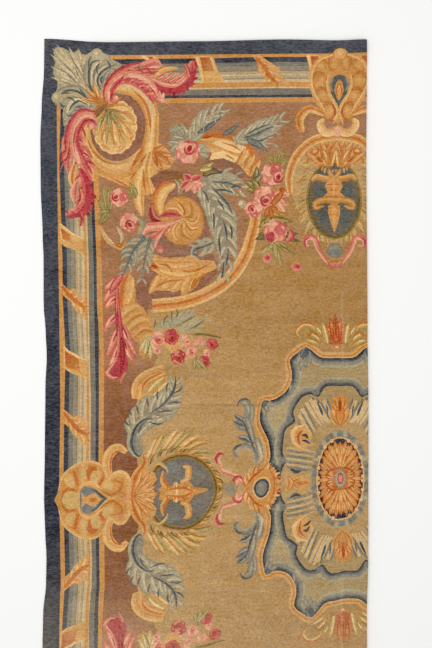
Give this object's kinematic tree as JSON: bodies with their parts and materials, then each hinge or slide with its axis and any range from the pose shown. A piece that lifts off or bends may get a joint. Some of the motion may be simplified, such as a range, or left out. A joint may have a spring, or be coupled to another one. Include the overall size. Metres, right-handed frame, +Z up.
{
  "type": "savonnerie rug",
  "caption": "Large hand-knotted floral wool carpet, folded under lengthwise, with its woven floral side showing.",
  "frame": {"origin": "middle of the folded carpet's footprint, on the floor", "axes": "+X across the carpet towards the fold, +Y along it towards the end at the top of the picture, +Z up out of the pile"},
  "size_m": [2.1292, 5.862, 0.0263],
  "materials": {
    "wool_pile": "matte cut wool pile, softly abrashed"
  },
  "bodies": {
    "root": {"rug": "wool_pile"}
  },
  "joints": []
}
